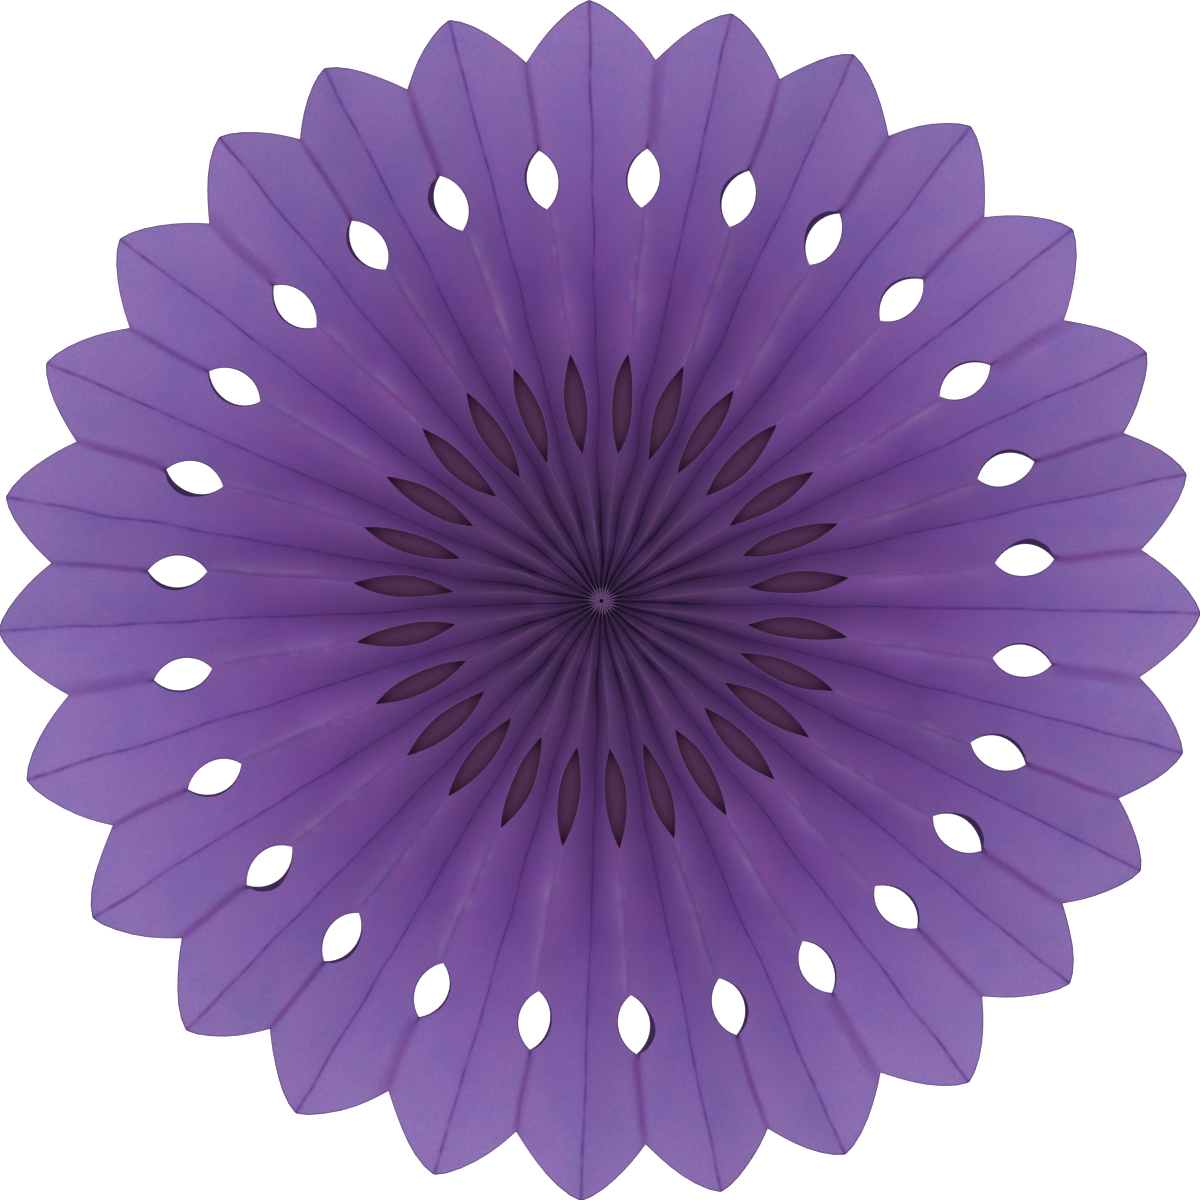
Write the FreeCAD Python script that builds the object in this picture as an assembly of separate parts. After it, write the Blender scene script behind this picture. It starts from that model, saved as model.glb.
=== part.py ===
import FreeCAD
import Part
import math
import os

# Paper fan medallion: one long strip of tissue paper, folded like an accordion,
# die cut through the folded stack and opened out to a full ring.
# It lies on its back with its front up, +Z. The origin is the middle of the hub,
# on the plane of the back folds. Lengths are in millimetres, angles in degrees.

# Sheet: two plies of tissue, glued end to end into one closed ring
sheet_thickness = 0.1
panel_width = 24.4        # from a back fold to the next front fold
fold_flat = 0.3           # width of the flattened crest along each fold
pleat_count = 27          # each pleat is one front fold with a panel on each side
hub_slack = 3.0           # room that each panel takes at the hub, in thicknesses

# Outline of a petal, which is centred on a back fold
tip_radius = 203.7
notch_radius = 184.4
draw_in = 0.126           # how much a wider spread pleat draws its notch in
petal_power = 1.38        # roundness of a petal: 1 is a straight flank, 2 a parabola
reach_twice = 0.75        # waves round the ring in the reach of the rim
reach_twice_phase = 168.0
reach_thrice = 0.85
reach_thrice_phase = 266.0

# Almond cut-outs, which are centred on the front folds
outer_cut_radius = 143.6
outer_cut_length = 20.0
outer_cut_width = 10.7
inner_cut_radius = 67.0
inner_cut_length = 34.0
inner_cut_width = 7.5

# Binding thread through every panel, beside the hub
thread_diameter = 0.4
thread_clearance = 0.15
thread_margin = 2.0       # from the inner edge of the sheet to the thread

# How unevenly the ring is opened by hand: waves in the folds' directions
first_fold = 5.2
spread_once = 1.9
spread_once_phase = 150.0
spread_twice = 0.9
spread_twice_phase = -77.0
spread_fourth = 0.4       # a wave that comes back at each fourth pleat
spread_fourth_phase = -223.0

# Facets along a fold, closer together towards the rim, where the folds dip
fold_steps = 7
step_crowding = 1.5
flattest_rise = 0.25      # least height of a front fold, as a share of the panel
crest_share = 0.3         # most that a crest takes of a panel's run near the hub
cutter_reach = 10.0       # how far a cutting shape stands past what it cuts

# Straight chords along each round stretch of a cut edge, and sides of the thread
almond_chords = 5
petal_chords = 5
petal_crowding = 1.25
thread_sides = 6

mean_pitch = 360.0 / pleat_count
hub_radius = hub_slack * sheet_thickness * 2 * pleat_count / (2 * math.pi)
thread_ring_radius = hub_radius + thread_margin
thread_height = panel_width / 2


def polar(radius, azimuth, height=0):
    angle = math.radians(azimuth)
    return FreeCAD.Vector(radius * math.cos(angle), radius * math.sin(angle), height)


# Direction of a front fold
def ridge_azimuth(pleat):
    lap = mean_pitch * pleat
    once = spread_once * math.sin(math.radians(lap + spread_once_phase))
    twice = spread_twice * math.sin(math.radians(2 * lap + spread_twice_phase))
    fourth = spread_fourth * math.sin(math.radians(90 * pleat + spread_fourth_phase))
    return first_fold + lap + once + twice + fourth


# Directions of a pleat's front fold and of the back folds on its two sides
def fold_azimuths(pleat):
    before = ridge_azimuth(pleat - 1) if pleat > 0 else ridge_azimuth(pleat_count - 1) - 360
    after = ridge_azimuth(pleat + 1) if pleat < pleat_count - 1 else ridge_azimuth(0) + 360
    ridge = ridge_azimuth(pleat)
    return (before + ridge) / 2, ridge, (ridge + after) / 2


# Height of a front fold above the back folds: the panel keeps its width
def rise(radius, half_pitch):
    run = math.radians(half_pitch) * radius
    least = flattest_rise * panel_width
    return math.sqrt(max(panel_width**2 - run**2, least**2))


# Front and back edges of the section across one pleat at one radius. Each is a
# row of six points, from one back fold over the front fold to the next back fold.
def pleat_section(radius, folds):
    valley_before, ridge, valley_after = folds
    height = rise(radius, (valley_after - valley_before) / 2)
    runs = [math.radians(half) * radius for half in (ridge - valley_before, valley_after - ridge)]
    half_flat = min(fold_flat / 2, crest_share * min(runs))
    front = []
    back = []
    for side, valley, run in ((1, valley_before, runs[0]), (-1, valley_after, runs[1])):
        slope = math.atan2(height, run - 2 * half_flat)
        mitre = sheet_thickness / 2 * math.tan(slope / 2)
        crest = run - half_flat
        low = sheet_thickness
        high = height + sheet_thickness
        front_edge = [(0, low), (half_flat - mitre, low), (crest - mitre, high)]
        back_edge = [(0, 0), (half_flat + mitre, 0), (crest + mitre, height)]
        for edge, points in ((front, front_edge), (back, back_edge)):
            row = [polar(radius, valley + side * math.degrees(u / radius), z) for u, z in points]
            edge.extend(row[::side])
    return front, back


# Two flat triangles for each four-cornered patch between two rows of points
def patches(row_a, row_b):
    faces = []
    for a, b, c, d in zip(row_a, row_a[1:], row_b[1:], row_b):
        faces.append(Part.Face(Part.makePolygon([a, b, c, a])))
        faces.append(Part.Face(Part.makePolygon([a, c, d, a])))
    return faces


def closed_solid(faces):
    shell = Part.makeShell(faces)
    shell.sewShape()
    return Part.makeSolid(shell)


# One pleat before it is cut: two panels and the front fold between them
def raw_pleat(folds):
    length = tip_radius + cutter_reach - hub_radius
    shares = [1 - (1 - step / fold_steps) ** step_crowding for step in range(fold_steps + 1)]
    sections = [pleat_section(hub_radius + length * share, folds) for share in shares]
    faces = []
    for (front_a, back_a), (front_b, back_b) in zip(sections, sections[1:]):
        faces += patches(front_a, front_b)
        faces += patches(back_a, back_b)
    for front, back in (sections[0], sections[-1]):
        faces += patches(front, back)
    for end in (0, -1):
        outline = [front[end] for front, back in sections]
        outline += [back[end] for front, back in reversed(sections)]
        faces.append(Part.Face(Part.makePolygon(outline + outline[:1])))
    return closed_solid(faces)


# A flat outline raised to a prism that stands past the sheet on both sides
def cutter(points):
    face = Part.Face(Part.makePolygon(points + points[:1]))
    face.translate(FreeCAD.Vector(0, 0, -cutter_reach))
    return face.extrude(FreeCAD.Vector(0, 0, panel_width + 2 * cutter_reach))


# Points along one side of an almond, without its last point
def arc_points(start, middle, end):
    return Part.Arc(start, middle, end).toShape().discretize(almond_chords + 1)[:-1]


# Almond with its two points on a front fold
def almond_cutter(azimuth, radius, length, width):
    inner = polar(radius - length / 2, azimuth)
    outer = polar(radius + length / 2, azimuth)
    middle = polar(radius, azimuth)
    across = polar(width / 2, azimuth + 90)
    return cutter(arc_points(inner, middle + across, outer) + arc_points(outer, middle - across, inner))


# How far the rim stands out or in at a direction
def reach_wave(azimuth):
    twice = reach_twice * math.sin(math.radians(2 * azimuth + reach_twice_phase))
    thrice = reach_thrice * math.sin(math.radians(3 * azimuth + reach_thrice_phase))
    return twice + thrice


# Half of a petal's rim, from the tip on a back fold down to the notch on a front
# fold: a round tip and a flank that bows out a little
def half_rim(valley, ridge, tip_reach, notch_reach):
    points = []
    for step in range(petal_chords + 1):
        share = (step / petal_chords) ** petal_crowding
        reach = tip_reach + (notch_reach - tip_reach) * share**petal_power
        points.append(polar(reach, valley + (ridge - valley) * share))
    return points


# Everything outside the rim over one pleat, and a little past its two back folds
def rim_cutter(folds):
    valley_before, ridge, valley_after = folds
    spread = (valley_after - valley_before) / mean_pitch - 1
    notch_reach = notch_radius * (1 - draw_in * spread) + reach_wave(ridge)
    far = tip_radius + 2 * cutter_reach
    sides = []
    for valley in (valley_before, valley_after):
        beyond = 2 * valley - ridge
        tip_reach = tip_radius + reach_wave(valley)
        rim = half_rim(valley, ridge, tip_reach, notch_reach)
        past = half_rim(valley, beyond, tip_reach, notch_reach)[1:2]
        sides.append([polar(far, beyond)] + past + rim)
    before, after = sides
    return cutter(before + after[-2::-1] + [polar(far, ridge)])


# Corners of the binding thread, or of its hole, in the upright plane at a direction
def thread_section(azimuth, radius):
    points = []
    for side in range(thread_sides):
        turn = math.radians(360.0 * side / thread_sides)
        reach = thread_ring_radius + radius * math.cos(turn)
        points.append(polar(reach, azimuth, thread_height + radius * math.sin(turn)))
    return points + points[:1]


# A pin through both panels of a pleat where the binding thread passes
def thread_cutter(ridge):
    along = polar(cutter_reach / 4, ridge + 90)
    face = Part.Face(Part.makePolygon(thread_section(ridge, thread_diameter / 2 + thread_clearance)))
    face.translate(-along)
    return face.extrude(along * 2)


def cut_pleat(folds):
    ridge = folds[1]
    cutters = [rim_cutter(folds), thread_cutter(ridge)]
    cutters.append(almond_cutter(ridge, outer_cut_radius, outer_cut_length, outer_cut_width))
    cutters.append(almond_cutter(ridge, inner_cut_radius, inner_cut_length, inner_cut_width))
    return raw_pleat(folds).cut(cutters)


# Does a face lie in the upright plane through a back fold, where pleats join?
def on_joint(face, valley):
    sideways = polar(1, valley + 90)
    return all(abs(corner.Point.dot(sideways)) < sheet_thickness / 100 for corner in face.Vertexes)


# All pleats joined along their back folds into one closed sheet
def paper_fan():
    faces = []
    for pleat in range(pleat_count):
        folds = fold_azimuths(pleat)
        cut = cut_pleat(folds)
        faces += [face for face in cut.Faces if not (on_joint(face, folds[0]) or on_joint(face, folds[2]))]
    return closed_solid(faces).removeSplitter()


# The thread runs straight through each pleat and turns between the pleats
def hub_thread():
    faces = []
    for pleat in range(pleat_count):
        valley_before, ridge, valley_after = fold_azimuths(pleat)
        ends = [thread_section(valley, thread_diameter / 2) for valley in (valley_before, valley_after)]
        faces += patches(ends[0], ends[1])
    return closed_solid(faces).removeSplitter()


def main():
    os.makedirs("parts", exist_ok=True)
    for name, shape in (("paper_fan", paper_fan()), ("hub_thread", hub_thread())):
        print(name, "valid:", shape.isValid(), "volume:", round(shape.Volume, 1), shape.BoundBox)
        shape.exportStep("parts/" + name + ".step")
    strip_length = 2 * pleat_count * panel_width
    print("flat strip:", round(strip_length, 1), "by", round(tip_radius - hub_radius, 1))


main()
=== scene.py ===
import bpy
import math
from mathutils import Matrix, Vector, noise


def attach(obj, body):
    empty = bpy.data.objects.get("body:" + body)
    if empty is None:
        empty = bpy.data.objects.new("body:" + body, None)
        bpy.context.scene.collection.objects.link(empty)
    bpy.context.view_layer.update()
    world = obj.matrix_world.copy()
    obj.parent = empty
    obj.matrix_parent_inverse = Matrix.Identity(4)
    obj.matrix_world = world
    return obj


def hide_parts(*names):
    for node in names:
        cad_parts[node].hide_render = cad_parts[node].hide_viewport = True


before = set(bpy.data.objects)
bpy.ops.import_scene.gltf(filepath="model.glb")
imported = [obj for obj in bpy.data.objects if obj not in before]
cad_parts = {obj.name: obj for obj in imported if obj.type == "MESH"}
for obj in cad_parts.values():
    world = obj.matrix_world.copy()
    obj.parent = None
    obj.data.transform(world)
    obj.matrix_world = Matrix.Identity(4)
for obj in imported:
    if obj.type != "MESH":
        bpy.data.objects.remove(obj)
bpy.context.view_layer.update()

# Paper fan medallion lying on its back, front up (+Z), seen from straight above.
# Everything is in metres, in the frame of the CAD parts, and angles are in degrees.

print("stage: settings")
scene = bpy.context.scene
scene.view_settings.view_transform = "Standard"

# The tissue fan. A zone is two radii, between which something comes in or goes out.
# A band is its strength, its place beside the front fold and its half width.
fan = {
    # The folds and cuts, as in the CAD part
    "pleats": 27,
    "panelWidth": 0.0244,       # back fold to front fold, on the flat sheet
    "tipRadius": 0.2037,
    "notchRadius": 0.1844,
    "drawIn": 0.126,            # how much a wider spread pleat draws its notch in
    "petalPower": 1.38,
    "flattestRise": 0.25,
    "outerCut": (0.1436, 0.0200, 0.0107),   # radius, length, width
    "innerCut": (0.0670, 0.0340, 0.0075),
    "paperGauge": 0.0001,
    "lift": 0.00005,            # half the paper under the back folds
    "firstFold": 5.2,
    "spreadWaves": ((1.9, 1, 150), (0.9, 2, -77)),      # size, waves round the ring, phase
    "fourthWave": (0.4, -223),              # comes back at each fourth pleat
    "rimWaves": ((0.00075, 2, 168), (0.00085, 3, 266)),

    # What the die and the folding did to each fourth pleat in turn, with the painted shade and
    # painted highlight that come back at each fourth pleat
    "habits": {
        "creaseShift": (0.40, -0.25, 0.0, 0.25),        # off the petal's middle
        "petalTone": (0.985, 1.0, 1.025, 0.995),
        # Painted shade: a dusky band beside the front fold outside a large cut-out
        "ridgeShadeBand": ((0.70, 0.0006, 0.0015), (0.75, 0.0, 0.0008),      # dusky band outside
                      (0.60, 0.0019, 0.0019), (0.60, -0.0003, 0.0011)),     # a large cut-out
        # Painted highlight: a light streak beside that band
        "pinchHighlight": (0.0, 0.0, 0.20, 0.0),     # light streak beside that band
        # Painted shade: how wide the dark crescent of an under ply shows at a cut-out
        "underPlyShade": (0.0021, 0.0012, 0.0006, 0.0008),   # how far it shows at a cut-out
    },

    # Rows from the hub to the last round row, then rows that change over to the rim's
    # outline, and columns as shares of the room between the two folds
    "grid": {
        "lastRound": 0.1700,
        "rimRows": 15,
        "spans": ((0.0007, 0.0080, 8), (0.0080, 0.0500, 10), (0.0500, 0.0840, 15),
                  (0.0840, 0.1336, 12), (0.1336, 0.1536, 16), (0.1536, 0.1700, 5)),
        "columns": (0.0, 0.14, 0.32, 0.50, 0.66, 0.79, 0.88, 0.95, 1.0),
        "foldBand": 0.0005,     # width of the first column, at the back fold
        "foldBandShare": 0.12,  # and the most of the run that it takes
        "edgeBand": 0.00035,    # width of the last column, at the front fold or a cut
        "edgeBandShare": 0.3,
        "rimBand": 0.0005,
        "gap": 0.00012,         # between such a column or row and the ones before it
        "gapShare": 0.05,
        "weld": 0.00001,
        "smoothAngle": 24,
    },

    # How the paper hangs between its folds
    "drape": {
        "lean": -0.0005,        # pleats lean a little, all round the same way
        "leanZone": (0.004, 0.020),
        "stray": 0.0015,        # folds don't run quite straight
        "strayWaves": 50,
        "strayZone": (0.003, 0.014),
        "strayLoss": 0.35,
        "strayLossZone": (0.05, 0.09),
        "strayEnd": (0.192, 0.200),
        "crest": 0.00007,       # half width of a front fold's crest
        "hubCrest": 0.00008,
        "crestZone": (0.008, 0.020),
        "crestShare": 0.45,
        "bow": 0.0004,          # how far a panel bows out
        "coreBow": 0.0017,
        "coreBowZone": (0.095, 0.125),
        "hubBow": 0.0014,
        "hubBowZone": (0.02, 0.05),
        "bowZone": (0.006, 0.02),
        "valleyLift": 0.0002,   # roundness of a back fold
        "valleyRound": 0.0005,
        "valleyZone": (0.02, 0.12),
        "ripple": 0.00042,
        "rippleWaves": 75,
        "rippleZone": (0.03, 0.09),
        "crush": 0.46,          # how high the crushed valleys stand at the hub
        "crushZone": (0.0050, 0.0165),
    },

    # Where the paper differs by petal, where painted light and painted highlights make it
    # lighter, and where painted shade and dark edges make it darker
    "toneAndPaintedLight": {
        "petalSpread": 0.01,
        # Painted light: the back folds made lighter at the hub, where they sit in shade
        "valleyPaintedLight": 0.85,     # lighter valleys at the hub, up to this share of a panel
        "valleyPaintedLightShare": 0.75,
        "valleyPaintedLightZone": (0.019, 0.026),
        # Painted shade: front folds made darker in the core
        "ridgePaintedShade": 0.14,       # darker front folds in the core, from this share of a panel
        "ridgePaintedShadeShare": 0.55,
        "ridgePaintedShadeZone": (0.050, 0.085),
        # Painted light: panels on one side of each front fold made lighter, as if lit from that
        # side
        "sidePaintedLight": 0.15,       # lighter panels on one side of each front fold
        "sideZones": ((0.034, 0.044), (0.100, 0.120)),
        "ringZones": ((0.086, 0.100), (0.128, 0.136)),  # between the two rings of cut-outs
        # Painted shade: a dark line beside each front fold, between the two rings of cut-outs
        "foldShadeLine": (0.14, 0.0004, 0.0009),
        # Painted highlights: pale streaks on one side of the front fold
        "sideHighlight": ((0.42, 0.0022, 0.0009), (0.14, 0.0038, 0.0024)),
        "sideHighlightMean": 0.8,
        "sideHighlightSwing": 1.3,
        "sideHighlightWaves": 55,
        # Place of a painted highlight beside a front fold, near the rim
        "pinchHighlightReach": (0.1705, 0.004),
        "pinchHighlightAside": (0.0041, 0.0007),
        # Painted shade beside the front fold, between a large cut-out and the rim
        "ridgeShadeLine": (0.45, 0.0, 0.0011),
        "ridgeShadeZone": (0.1525, 0.157),
        "ridgeShadeLoss": 0.3,
        "ridgeShadeLossZone": (0.176, 0.184),
        # Painted shade at a large cut-out's outer tip
        "tipCorner": (0.8, 0.0, 0.0010),    # dark corner at a large cut-out's outer tip
        "tipCornerReach": (0.1538, 0.0018),
        "tipCornerFrom": 0.15,
        # Painted shade: the crescent along a large cut-out
        "crescentRise": (-0.35, 0.28),      # along a cut-out, in shares of its length
        "crescentLoss": 0.40,
        "crescentLossZone": (0.44, 0.50),
        # Darkness of the rim's edge, and of a cut-out's flanks, one flank taking more painted
        # shade than the other
        "rimEdge": 0.55,        # how dark the paper's edge is at the rim and at a cut-out
        "leftEdge": 1.0,
        "rightEdge": 0.6,
    },
}
habits, grid, drape, toneAndPaintedLight = (fan[group] for group in ("habits", "grid", "drape", "toneAndPaintedLight"))


# Direction of a front fold
def ridgeAzimuth(pleat):
    lap = 360.0 / fan["pleats"] * pleat
    azimuth = fan["firstFold"] + lap
    for size, count, phase in fan["spreadWaves"]:
        azimuth += size * math.sin(math.radians(count * lap + phase))
    size, phase = fan["fourthWave"]
    return azimuth + size * math.sin(math.radians(90 * pleat + phase))


# Directions of a pleat's front fold and of the back folds on its two sides
def foldAzimuths(pleat):
    last = fan["pleats"] - 1
    before = ridgeAzimuth(pleat - 1) if pleat > 0 else ridgeAzimuth(last) - 360
    after = ridgeAzimuth(pleat + 1) if pleat < last else ridgeAzimuth(0) + 360
    ridge = ridgeAzimuth(pleat)
    shift = habits["creaseShift"]
    valleyBefore = (before + ridge) / 2 + shift[(pleat - 1) % fan["pleats"] % 4]
    return valleyBefore, ridge, (ridge + after) / 2 + shift[pleat % 4]


# How far the rim stands out or in at a direction
def reachWave(azimuth):
    return sum(size * math.sin(math.radians(count * azimuth + phase))
               for size, count, phase in fan["rimWaves"])


# Anything that differs from petal to petal: a smooth number from about -1 to 1
def wander(pleat, topic):
    return noise.noise(Vector((pleat * 7.31 + 0.5, topic * 3.17 + 0.3, 0.7))) * 1.8


def rising(zone, value):
    low, high = zone
    t = min(max((value - low) / (high - low), 0.0), 1.0)
    return t * t * (3 - 2 * t)


def falling(zone, value):
    return 1 - rising(zone, value)


def between(zones, value):
    return rising(zones[0], value) * falling(zones[1], value)


def hump(value, place, width):
    return math.exp(-((value - place) / width) ** 2)


def bandAt(band, offset):
    strength, place, width = band
    return strength * hump(offset, place, width)


# Half width of an almond cut-out at a radius, 0 outside it
def almondHalf(radius, cut):
    centre, length, width = cut
    off = radius - centre
    if abs(off) >= length / 2:
        return 0.0
    bow = (length * length / 4 + width * width / 4) / width
    return math.sqrt(bow * bow - off * off) - (bow - width / 2)


def gridRadii():
    radii = []
    for low, high, rows in grid["spans"]:
        radii += [low + (high - low) * row / rows for row in range(rows)]
    return radii


# Distances across a panel from the back fold, for one row of the grid
def acrossRow(run, edge, band):
    first = min(grid["foldBand"], run * grid["foldBandShare"])
    band = min(band, edge * grid["edgeBandShare"])
    last = edge - band - min(grid["gap"], edge * grid["gapShare"])
    shares = [first + (last - first) * share for share in grid["columns"]]
    return [0.0] + shares + [edge - band, edge]


# Radius of a row between the last round row and the rim's outline
def rimRadius(step, outline, base):
    last = grid["rimRows"] - 1
    if step >= last - 1:
        return outline - grid["rimBand"] * (last - step)
    return base + (outline - grid["rimBand"] - grid["gap"] - base) * step / (last - 2)


def leanAt(radius):
    return drape["lean"] * rising(drape["leanZone"], radius)


def strayAt(pleat, topic, radius):
    wave = noise.noise(Vector((radius * drape["strayWaves"], pleat * 5.3 + 0.4, topic * 9.1)))
    loss = drape["strayLoss"] * rising(drape["strayLossZone"], radius)
    return wave * drape["stray"] * rising(drape["strayZone"], radius) * (1 - loss)


# Height of the paper over the back folds at a distance from the back fold
def paperHeight(x, run, radius, pleat, side, halfPitch):
    width = fan["panelWidth"]
    least = fan["flattestRise"] * width
    rise = math.sqrt(max(width * width - (halfPitch * radius) ** 2, least * least))
    crest = drape["crest"] + drape["hubCrest"] * falling(drape["crestZone"], radius)
    crest = min(crest, run * drape["crestShare"])
    share = min(x / max(run - crest, 1e-6), 1.0)
    arch = math.sin(math.pi * share)
    bow = drape["bow"] * (1 + wander(pleat, 1 + side))
    bow += drape["coreBow"] * falling(drape["coreBowZone"], radius)
    bow += drape["hubBow"] * falling(drape["hubBowZone"], radius)
    height = rise * share + bow * arch * rising(drape["bowZone"], radius)
    roundness = 1 - math.exp(-x / drape["valleyRound"])
    height += drape["valleyLift"] * roundness * rising(drape["valleyZone"], radius)
    waves = drape["rippleWaves"]
    ripple = noise.noise(Vector((radius * waves, x * waves + side * 11.3, pleat * 3.7)))
    height += drape["ripple"] * ripple * arch * rising(drape["rippleZone"], radius)
    # Near the hub the folds are crushed together and their valleys stand high
    return height + (rise - height) * drape["crush"] * falling(drape["crushZone"], radius)


# How much lighter or darker the paper is than its base colour: by petal, as the paper's own
# difference, and from the back fold (share 0) to the front fold (share 1) and in lines beside
# the front fold, as painted light, painted shade and a painted highlight
def paperToneAndShade(pleat, side, share, fromRidge, radius, petal):
    toneAndShade = habits["petalTone"][petal % 4] * (1 + toneAndPaintedLight["petalSpread"] * wander(petal, 6))
    # Painted light in the back folds at the hub
    valley = falling((0.0, toneAndPaintedLight["valleyPaintedLightShare"]), share)
    toneAndShade *= 1 + toneAndPaintedLight["valleyPaintedLight"] * falling(toneAndPaintedLight["valleyPaintedLightZone"], radius) * valley
    # Painted shade on the front folds in the core
    ridge = rising((toneAndPaintedLight["ridgePaintedShadeShare"], 1.0), share)
    toneAndShade *= 1 - toneAndPaintedLight["ridgePaintedShade"] * falling(toneAndPaintedLight["ridgePaintedShadeZone"], radius) * ridge
    # Painted light on one side of each front fold
    if side > 0:
        arch = math.sin(math.pi * share)
        toneAndShade *= 1 + toneAndPaintedLight["sidePaintedLight"] * arch * between(toneAndPaintedLight["sideZones"], radius)
    aside = side * fromRidge
    # Painted shade: a dark line beside the front fold between the rings
    toneAndShade *= 1 - between(toneAndPaintedLight["ringZones"], radius) * bandAt(toneAndPaintedLight["foldShadeLine"], aside)
    # Painted highlight: a light streak beside the front fold near the rim
    pinchHighlight = hump(radius, *toneAndPaintedLight["pinchHighlightReach"]) * hump(aside, *toneAndPaintedLight["pinchHighlightAside"])
    return toneAndShade * (1 + habits["pinchHighlight"][pleat % 4] * pinchHighlight)


# Painted highlight: a pale streak on one side of the front fold, between the two rings
def sideHighlightAt(pleat, side, fromRidge, radius):
    wave = noise.noise(Vector((radius * toneAndPaintedLight["sideHighlightWaves"], pleat * 4.1, 0.2)))
    streak = max(toneAndPaintedLight["sideHighlightMean"] + toneAndPaintedLight["sideHighlightSwing"] * wave, 0.0)
    lines = sum(bandAt(band, side * fromRidge) for band in toneAndPaintedLight["sideHighlight"])
    return between(toneAndPaintedLight["ringZones"], radius) * streak * lines


# Painted shade: a dusky band beside the front fold between a large cut-out and the rim
def ridgeShadeAt(pleat, side, fromRidge, radius):
    loss = toneAndPaintedLight["ridgeShadeLoss"] * rising(toneAndPaintedLight["ridgeShadeLossZone"], radius)
    zone = rising(toneAndPaintedLight["ridgeShadeZone"], radius) * (1 - loss)
    line = bandAt(toneAndPaintedLight["ridgeShadeLine"], fromRidge)
    band = bandAt(habits["ridgeShadeBand"][pleat % 4], side * fromRidge)
    corner = 0.0
    if radius > toneAndPaintedLight["tipCornerFrom"]:
        corner = bandAt(toneAndPaintedLight["tipCorner"], fromRidge) * hump(radius, *toneAndPaintedLight["tipCornerReach"])
    return min(zone * (line + band) + corner, 1.0)


# Width of the dark edge of a large cut-out, painted shade of an under ply: a crescent
# on the flank that the pleats lean to
def plyShadeWidth(pleat, side, radius):
    centre, length, width = fan["outerCut"]
    along = (radius - centre) / length
    if side > 0 or abs(along) > 0.5:
        return grid["edgeBand"]
    loss = toneAndPaintedLight["crescentLoss"] * rising(toneAndPaintedLight["crescentLossZone"], along)
    crescent = rising(toneAndPaintedLight["crescentRise"], along) * (1 - loss)
    return grid["edgeBand"] + (habits["underPlyShade"][pleat % 4] - grid["edgeBand"]) * crescent


# How dark the paper's edge is: at the rim, and at a cut-out, where painted shade makes one
# flank darker than the other
def edgeMark(side, onRim, onCut):
    if onRim:
        return toneAndPaintedLight["rimEdge"]
    if onCut:
        return toneAndPaintedLight["leftEdge"] if side < 0 else toneAndPaintedLight["rightEdge"]
    return 0.0


print("stage: tissue")
report = {"panels": 0, "points": 0}


# One panel: a grid primitive whose rows and columns are moved to the cut sheet's
# outline, then folded into its place in the ring
def makePanel(pleat, side, radii):
    valleyBefore, ridge, valleyAfter = foldAzimuths(pleat)
    valley = valleyBefore if side > 0 else valleyAfter
    petal = (pleat - 1) % fan["pleats"] if side > 0 else pleat
    halfPitch = math.radians(abs(ridge - valley))
    meanPitch = math.radians(valleyAfter - valleyBefore) / 2
    tipReach = fan["tipRadius"] + reachWave(valley)
    spread = meanPitch / (math.pi / fan["pleats"]) - 1
    notchReach = fan["notchRadius"] * (1 - fan["drawIn"] * spread) + reachWave(ridge)
    rows = len(radii) + grid["rimRows"]
    columns = len(grid["columns"]) + 3
    bpy.ops.mesh.primitive_grid_add(x_subdivisions=columns - 1, y_subdivisions=rows - 1, size=1)
    panel = bpy.context.object
    panel.name = "panel"
    points = []
    marks = {"reach": [], "across": [], "edgeAndPlyShade": [], "toneAndShade": [], "ridgeShade": [], "sideHighlight": []}
    for row in range(rows):
        onRim = row >= len(radii)
        base = grid["lastRound"] if onRim else radii[row]
        outer = 0.0 if onRim else almondHalf(base, fan["outerCut"])
        cut = outer if onRim else max(outer, almondHalf(base, fan["innerCut"]))
        run = halfPitch * base
        band = plyShadeWidth(pleat, side, base) if outer > 0 else grid["edgeBand"]
        for column, x in enumerate(acrossRow(run, run - cut, band)):
            share = x / run
            radius = base
            if onRim:
                outline = tipReach + (notchReach - tipReach) * share ** fan["petalPower"]
                radius = rimRadius(row - len(radii), outline, base)
            lateral = share * halfPitch * radius
            fullRun = halfPitch * radius
            fromRidge = fullRun - lateral
            z = fan["lift"] + paperHeight(lateral, fullRun, radius, pleat, side, meanPitch)
            stray = strayAt(petal, 1, radius) * (1 - share) + strayAt(pleat, 2, radius) * share
            stray *= falling(drape["strayEnd"], radius)
            azimuth = math.radians(valley) + side * share * halfPitch
            azimuth += (leanAt(radius) * z / fan["panelWidth"] + stray) / radius
            points.append((radius * math.cos(azimuth), radius * math.sin(azimuth), z))
            onCut = outer > 0 and column >= columns - 2
            marks["reach"].append(radius)
            marks["across"].append(share * fan["panelWidth"])
            marks["edgeAndPlyShade"].append(edgeMark(side, row >= rows - 2, onCut))
            marks["toneAndShade"].append(paperToneAndShade(pleat, side, share, fromRidge, radius, petal))
            marks["ridgeShade"].append(ridgeShadeAt(pleat, side, fromRidge, radius))
            marks["sideHighlight"].append(sideHighlightAt(pleat, side, fromRidge, radius))
    mesh = panel.data
    mesh.vertices.foreach_set("co", [c for point in points for c in point])
    for name, values in marks.items():
        mesh.attributes.new(name, "FLOAT", "POINT").data.foreach_set("value", values)
    report["panels"] += 1
    report["points"] += len(points)
    return panel


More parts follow.
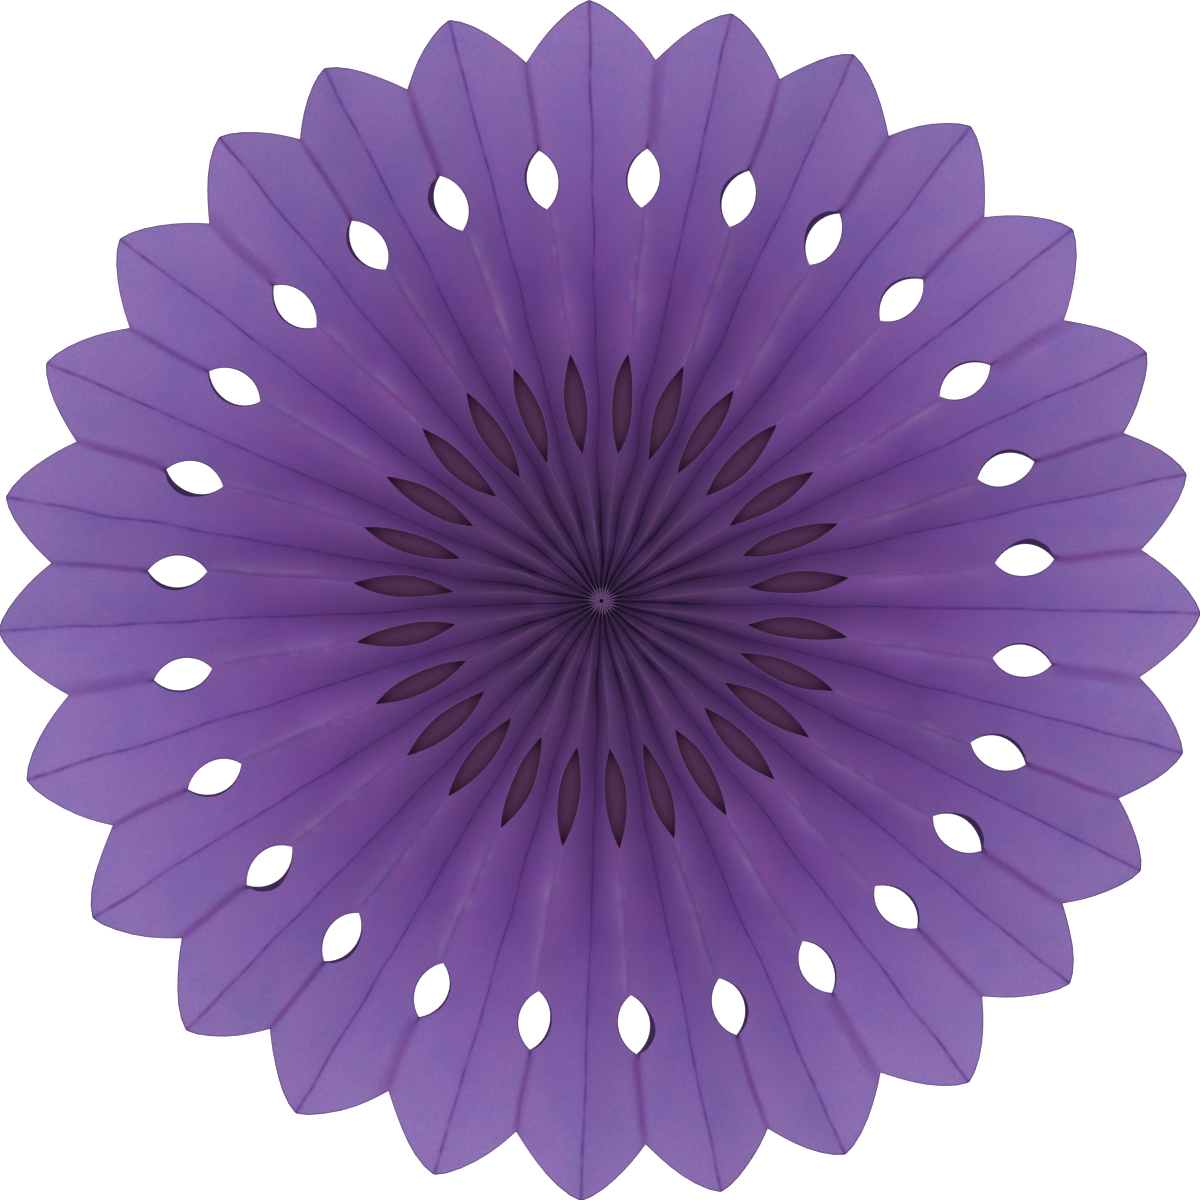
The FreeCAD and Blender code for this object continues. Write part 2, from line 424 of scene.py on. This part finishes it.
def makeTissue():
    radii = gridRadii()
    bpy.ops.object.select_all(action="DESELECT")
    panels = []
    for pleat in range(fan["pleats"]):
        for side in (1, -1):
            panels.append(makePanel(pleat, side, radii))
    for panel in panels:
        panel.select_set(True)
    bpy.context.view_layer.objects.active = panels[0]
    bpy.ops.object.join()
    tissue = bpy.context.object
    tissue.name = "tissueFan"
    tissue.data.name = "tissueFan"
    bpy.ops.object.mode_set(mode="EDIT")
    bpy.ops.mesh.select_all(action="SELECT")
    bpy.ops.mesh.remove_doubles(threshold=grid["weld"])
    bpy.ops.mesh.normals_make_consistent(inside=False)
    bpy.ops.object.mode_set(mode="OBJECT")
    up = sum(face.normal.z * face.area for face in tissue.data.polygons)
    if up < 0:
        tissue.data.flip_normals()
    bpy.ops.object.modifier_add(type="SOLIDIFY")
    tissue.modifiers[-1].thickness = fan["paperGauge"]
    tissue.modifiers[-1].offset = 0
    bpy.ops.object.modifier_apply(modifier=tissue.modifiers[-1].name)
    bpy.ops.object.shade_smooth_by_angle(angle=math.radians(grid["smoothAngle"]))
    return tissue


tissueFan = makeTissue()
print("  panels", report["panels"], "points", report["points"],
      "faces", len(tissueFan.data.polygons))


# Materials
def newMaterial(name):
    material = bpy.data.materials.new(name)
    material.use_nodes = True
    nodes = material.node_tree.nodes
    nodes.clear()
    return material, nodes, material.node_tree.links


tissueLook = {
    "reach": 0.2,               # radius at the ramp's end
    # The paper's purple colour by radius, with painted shade making it deeper and redder
    # towards the hub
    "dyeAndCoreShade": ((0.000, (0.190, 0.085, 0.275)),     # radius, colour: deeper and redder in the
            (0.020, (0.335, 0.145, 0.460)),     # folds' core
            (0.060, (0.290, 0.108, 0.435)),
            (0.112, (0.285, 0.107, 0.470)),
            (0.150, (0.290, 0.150, 0.512)),
            (0.190, (0.304, 0.180, 0.518))),
    "patches": (60, 2),         # scale and detail of the mottling's three sizes
    "blots": (170, 2),
    "grain": (900, 1),
    "cool": (0.85, 0.94, 1.00, 1),              # tints of the mottling
    "coolAt": (0.46, 0.68, 0.0, 0.8),
    "warm": (1.10, 0.95, 0.98, 1),
    "warmAt": (0.50, 0.28, 0.0, 0.8),
    "grainAt": (0.25, 0.75, 0.725, 0.835),
    # Colour for the painted shade beside the front fold
    "ridgeShade": (0.70, 0.45, 0.70, 1),
    # Painted shade in the back fold's crease
    "creaseShade": (0.142, 0.042, 0.262, 1),
    "creaseWidth": 0.0011,
    # Blotchy breakup of the painted crease shade and of the painted highlight beside the front
    # fold
    "paintedLightBreakup": (0.30, 0.62, 0.35, 1.0),
    # Pale colour for the worn crest and for painted highlights
    "wornAndHighlight": (0.330, 0.204, 0.470, 1),
    "crestBand": (0.0035, 0.0010),              # from the front fold, on the flat sheet
    "crestWearAndHighlight": (0.54, 0.74, 0.0, 0.30),
    "crestZone": (0.120, 0.136),
    # Dark colour of the rim's edge and of the painted shade at a cut-out's edge
    "edgeAndPlyShade": (0.047, 0.016, 0.094, 1),
    "fibreStrength": 0.18,
    "fibreDepth": 0.0002,
    "specular": 0.20,
    "roughness": 0.82,
}


def tissueMaterial():
    look = tissueLook
    material, nodes, links = newMaterial("purpleTissue")
    coordinates = nodes.new("ShaderNodeTexCoord")

    def cloud(scale, detail):
        texture = nodes.new("ShaderNodeTexNoise")
        texture.inputs["Scale"].default_value = scale
        texture.inputs["Detail"].default_value = detail
        links.new(coordinates.outputs["Object"], texture.inputs["Vector"])
        return texture.outputs["Fac"]

    def attribute(name):
        node = nodes.new("ShaderNodeAttribute")
        node.attribute_name = name
        return node.outputs["Fac"]

    def mapRange(value, low, high, outLow, outHigh):
        node = nodes.new("ShaderNodeMapRange")
        node.inputs["From Min"].default_value = low
        node.inputs["From Max"].default_value = high
        node.inputs["To Min"].default_value = outLow
        node.inputs["To Max"].default_value = outHigh
        links.new(value, node.inputs["Value"])
        return node.outputs["Result"]

    def times(a, b):
        node = nodes.new("ShaderNodeMath")
        node.operation = "MULTIPLY"
        links.new(a, node.inputs[0])
        links.new(b, node.inputs[1])
        return node.outputs[0]

    def mixColour(factor, a, b, blend="MIX"):
        node = nodes.new("ShaderNodeMix")
        node.data_type = "RGBA"
        node.blend_type = blend
        for value, name in ((factor, "Factor"), (a, "A"), (b, "B")):
            if isinstance(value, (tuple, float)):
                node.inputs[name].default_value = value
            else:
                links.new(value, node.inputs[name])
        return node.outputs["Result"]

    patches = cloud(*look["patches"])
    blots = cloud(*look["blots"])
    grain = cloud(*look["grain"])
    # Colour by radius, with painted shade deepening it towards the hub
    dyeAndCoreShade = nodes.new("ShaderNodeValToRGB")
    links.new(mapRange(attribute("reach"), 0.0, look["reach"], 0.0, 1.0), dyeAndCoreShade.inputs["Fac"])
    while len(dyeAndCoreShade.color_ramp.elements) < len(look["dyeAndCoreShade"]):
        dyeAndCoreShade.color_ramp.elements.new(0.5)
    for element, (reach, colour) in zip(dyeAndCoreShade.color_ramp.elements, look["dyeAndCoreShade"]):
        element.position = reach / look["reach"]
        element.color = (*colour, 1)
    base = dyeAndCoreShade.outputs["Color"]
    base = mixColour(mapRange(patches, *look["coolAt"]), base, look["cool"], "MULTIPLY")
    base = mixColour(mapRange(blots, *look["warmAt"]), base, look["warm"], "MULTIPLY")
    base = mixColour(1.0, base, mapRange(grain, *look["grainAt"]), "MULTIPLY")
    # Each petal's own lighter or darker colour, with painted light and painted shade across the
    # panels
    base = mixColour(1.0, base, attribute("toneAndShade"), "MULTIPLY")
    # Painted shade beside the front fold, outside a large cut-out
    base = mixColour(attribute("ridgeShade"), base, look["ridgeShade"], "MULTIPLY")
    # Painted shade along the back fold's crease, broken up in blots
    across = attribute("across")
    creaseLine = mapRange(across, 0.0, look["creaseWidth"], 1.0, 0.0)
    paintedLightBreakup = mapRange(blots, *look["paintedLightBreakup"])
    base = mixColour(times(creaseLine, paintedLightBreakup), base, look["creaseShade"])
    # Pale crest in the core: worn paper with a painted highlight, broken up in blots
    crestLow, crestHigh = (fan["panelWidth"] - width for width in look["crestBand"])
    crestLine = mapRange(across, crestLow, crestHigh, 0.0, 1.0)
    crestWearAndHighlight = mapRange(blots, *look["crestWearAndHighlight"])
    core = mapRange(attribute("reach"), *look["crestZone"], 1.0, 0.0)
    base = mixColour(times(times(crestLine, crestWearAndHighlight), core), base, look["wornAndHighlight"])
    # Painted highlight on one side of the front fold
    base = mixColour(times(attribute("sideHighlight"), paintedLightBreakup), base, look["wornAndHighlight"])
    # Dark rim edge, and painted shade at the cut-outs' edges
    base = mixColour(attribute("edgeAndPlyShade"), base, look["edgeAndPlyShade"])

    fibre = nodes.new("ShaderNodeBump")
    fibre.inputs["Strength"].default_value = look["fibreStrength"]
    fibre.inputs["Distance"].default_value = look["fibreDepth"]
    links.new(grain, fibre.inputs["Height"])

    paper = nodes.new("ShaderNodeBsdfPrincipled")
    paper.inputs["Specular IOR Level"].default_value = look["specular"]
    paper.inputs["Roughness"].default_value = look["roughness"]
    links.new(base, paper.inputs["Base Color"])
    links.new(fibre.outputs["Normal"], paper.inputs["Normal"])
    output = nodes.new("ShaderNodeOutputMaterial")
    links.new(paper.outputs[0], output.inputs["Surface"])
    return material


threadLook = {
    "twist": 900,
    "dark": (0.10, 0.05, 0.17, 1),
    "light": (0.17, 0.09, 0.27, 1),
    "bumpDepth": 0.00005,
    "roughness": 0.6,
}


def threadMaterial():
    look = threadLook
    material, nodes, links = newMaterial("bindingThread")
    coordinates = nodes.new("ShaderNodeTexCoord")
    twist = nodes.new("ShaderNodeTexWave")
    twist.inputs["Scale"].default_value = look["twist"]
    links.new(coordinates.outputs["Object"], twist.inputs["Vector"])
    ramp = nodes.new("ShaderNodeMix")
    ramp.data_type = "RGBA"
    ramp.inputs["A"].default_value = look["dark"]
    ramp.inputs["B"].default_value = look["light"]
    links.new(twist.outputs["Fac"], ramp.inputs["Factor"])
    bump = nodes.new("ShaderNodeBump")
    bump.inputs["Distance"].default_value = look["bumpDepth"]
    links.new(twist.outputs["Fac"], bump.inputs["Height"])
    strand = nodes.new("ShaderNodeBsdfPrincipled")
    strand.inputs["Roughness"].default_value = look["roughness"]
    links.new(ramp.outputs["Result"], strand.inputs["Base Color"])
    links.new(bump.outputs["Normal"], strand.inputs["Normal"])
    output = nodes.new("ShaderNodeOutputMaterial")
    links.new(strand.outputs[0], output.inputs["Surface"])
    return material


print("stage: materials")
tissueFan.data.materials.clear()
tissueFan.data.materials.append(tissueMaterial())
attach(tissueFan, "root")
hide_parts("paper_fan")
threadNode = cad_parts["hub_thread"]
threadNode.material_slots[0].material = threadMaterial()


# Floor, light and camera
studio = {
    "floorSize": 6.0,
    "floorDrop": 0.0002,
    "floorColour": (0.82, 0.82, 0.82, 1),
    "floorGlow": 0.80,
    # Painted shadow on the floor under the fan's core: its radii and its colour
    "shadeRadius": (0.104, 0.118),          # shade on the floor, under the fan's core
    "shadeColour": (0.082, 0.028, 0.084, 1),
    "lampHeight": 8.6,
    "lampSize": 3.5,
    "lampPower": 700,
    "fill": 0.22,
    "backdrop": 1.0,
    "cameraHeight": 8.0,
    "cameraReach": 50,
    "sensorWidth": 36,                      # millimetres, as Blender has it
    "photoWidth": 0.4064,                   # what the photograph takes in at the paper
    "hubOffset": (0.0005, -0.0003),         # hub against the middle of the picture
}


def floorMaterial():
    material, nodes, links = newMaterial("paleFloor")
    diffuse = nodes.new("ShaderNodeBsdfDiffuse")
    diffuse.inputs["Color"].default_value = studio["floorColour"]
    bright = nodes.new("ShaderNodeEmission")
    bright.inputs["Color"].default_value = (1, 1, 1, 1)
    bright.inputs["Strength"].default_value = studio["floorGlow"]
    both = nodes.new("ShaderNodeAddShader")
    links.new(diffuse.outputs[0], both.inputs[0])
    links.new(bright.outputs[0], both.inputs[1])
    # The floor is bright only where it is seen, so it throws no light of its own
    path = nodes.new("ShaderNodeLightPath")
    seen = path.outputs["Is Camera Ray"]
    for ray in ("Is Glossy Ray", "Is Transmission Ray"):
        either = nodes.new("ShaderNodeMath")
        either.operation = "MAXIMUM"
        links.new(seen, either.inputs[0])
        links.new(path.outputs[ray], either.inputs[1])
        seen = either.outputs[0]
    pick = nodes.new("ShaderNodeMixShader")
    links.new(seen, pick.inputs["Fac"])
    links.new(diffuse.outputs[0], pick.inputs[1])
    links.new(both.outputs[0], pick.inputs[2])
    # Under the fan's core the floor is painted dark, a painted shadow
    coordinates = nodes.new("ShaderNodeTexCoord")
    length = nodes.new("ShaderNodeVectorMath")
    length.operation = "LENGTH"
    links.new(coordinates.outputs["Object"], length.inputs[0])
    ring = nodes.new("ShaderNodeMapRange")
    ring.inputs["From Min"].default_value = studio["shadeRadius"][0]
    ring.inputs["From Max"].default_value = studio["shadeRadius"][1]
    links.new(length.outputs["Value"], ring.inputs["Value"])
    shade = nodes.new("ShaderNodeBsdfDiffuse")
    shade.inputs["Color"].default_value = studio["shadeColour"]
    under = nodes.new("ShaderNodeMixShader")
    links.new(ring.outputs["Result"], under.inputs["Fac"])
    links.new(shade.outputs[0], under.inputs[1])
    links.new(pick.outputs[0], under.inputs[2])
    output = nodes.new("ShaderNodeOutputMaterial")
    links.new(under.outputs[0], output.inputs["Surface"])
    return material


def makeStudio():
    bpy.ops.mesh.primitive_plane_add(size=studio["floorSize"],
                                     location=(0, 0, -studio["floorDrop"]))
    floor = bpy.context.object
    floor.name = "floor"
    floor.data.materials.append(floorMaterial())
    bpy.ops.object.light_add(type="AREA", location=(0, 0, studio["lampHeight"]))
    key = bpy.context.object
    key.name = "keyLight"
    key.data.shape = "DISK"
    key.data.size = studio["lampSize"]
    key.data.energy = studio["lampPower"]
    world = bpy.data.worlds.new("studio")
    world.use_nodes = True
    scene.world = world
    nodes, links = world.node_tree.nodes, world.node_tree.links
    nodes.clear()
    fill = nodes.new("ShaderNodeBackground")
    fill.inputs["Strength"].default_value = studio["fill"]
    white = nodes.new("ShaderNodeBackground")
    white.inputs["Strength"].default_value = studio["backdrop"]
    path = nodes.new("ShaderNodeLightPath")
    pick = nodes.new("ShaderNodeMixShader")
    links.new(path.outputs["Is Camera Ray"], pick.inputs["Fac"])
    links.new(fill.outputs[0], pick.inputs[1])
    links.new(white.outputs[0], pick.inputs[2])
    output = nodes.new("ShaderNodeOutputWorld")
    links.new(pick.outputs[0], output.inputs["Surface"])


def makeCamera():
    x, y = studio["hubOffset"]
    height = studio["cameraHeight"]
    bpy.ops.object.camera_add(location=(-x, -y, height), rotation=(0, 0, 0))
    camera = bpy.context.object
    camera.name = "camera"
    camera.data.sensor_width = studio["sensorWidth"]
    camera.data.lens = studio["sensorWidth"] * height / studio["photoWidth"]
    camera.data.clip_end = studio["cameraReach"]
    scene.camera = camera


print("stage: studio")
makeStudio()
makeCamera()
